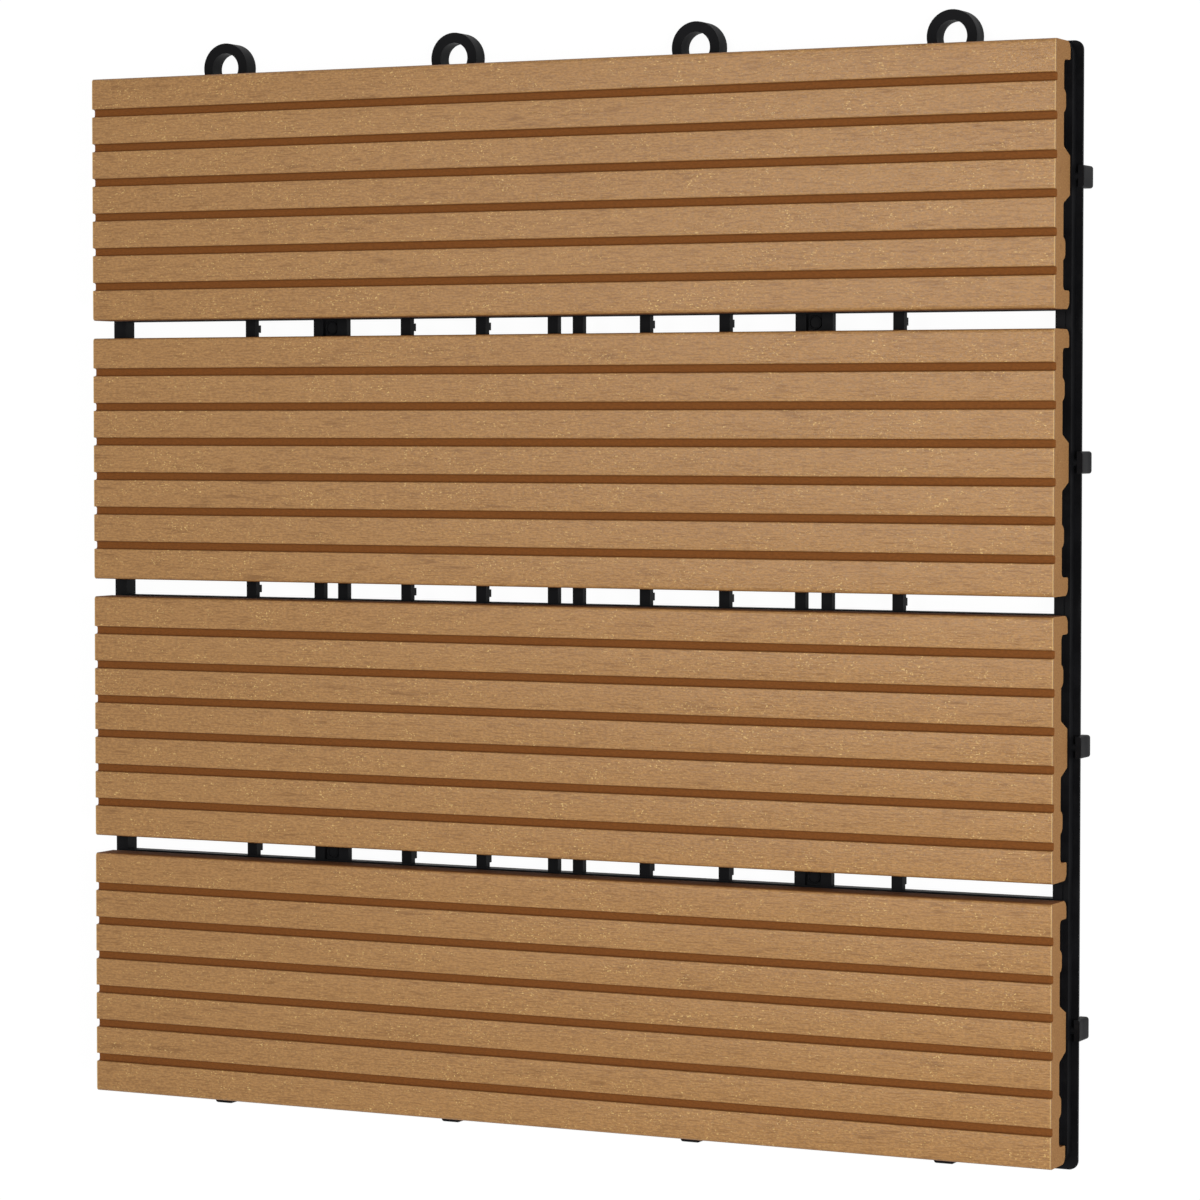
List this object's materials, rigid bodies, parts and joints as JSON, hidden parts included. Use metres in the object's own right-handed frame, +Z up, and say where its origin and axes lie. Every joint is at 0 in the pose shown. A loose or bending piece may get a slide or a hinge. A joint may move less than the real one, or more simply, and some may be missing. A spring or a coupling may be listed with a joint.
{
  "type": "interlocking deck tile",
  "caption": "Square deck tile with grooved wood-plastic boards on a black moulded lattice base, with loops on two edges and pegs on the other two.",
  "frame": {"origin": "centre of the square rim, on the plane that the feet stand on", "axes": "+X along the boards towards the pegs of the right edge, +Y across the boards towards the loops of the back edge, +Z up out of the deck"},
  "size_m": [0.3133, 0.3133, 0.022],
  "materials": {
    "decking": "sanded wood-plastic composite",
    "base_plastic": "satin moulded",
    "screw_steel": "zinc plated"
  },
  "bodies": {
    "root": {"base": "base_plastic", "board_1": "decking", "board_2": "decking", "board_3": "decking", "board_4": "decking", "screws": "screw_steel"}
  },
  "joints": []
}
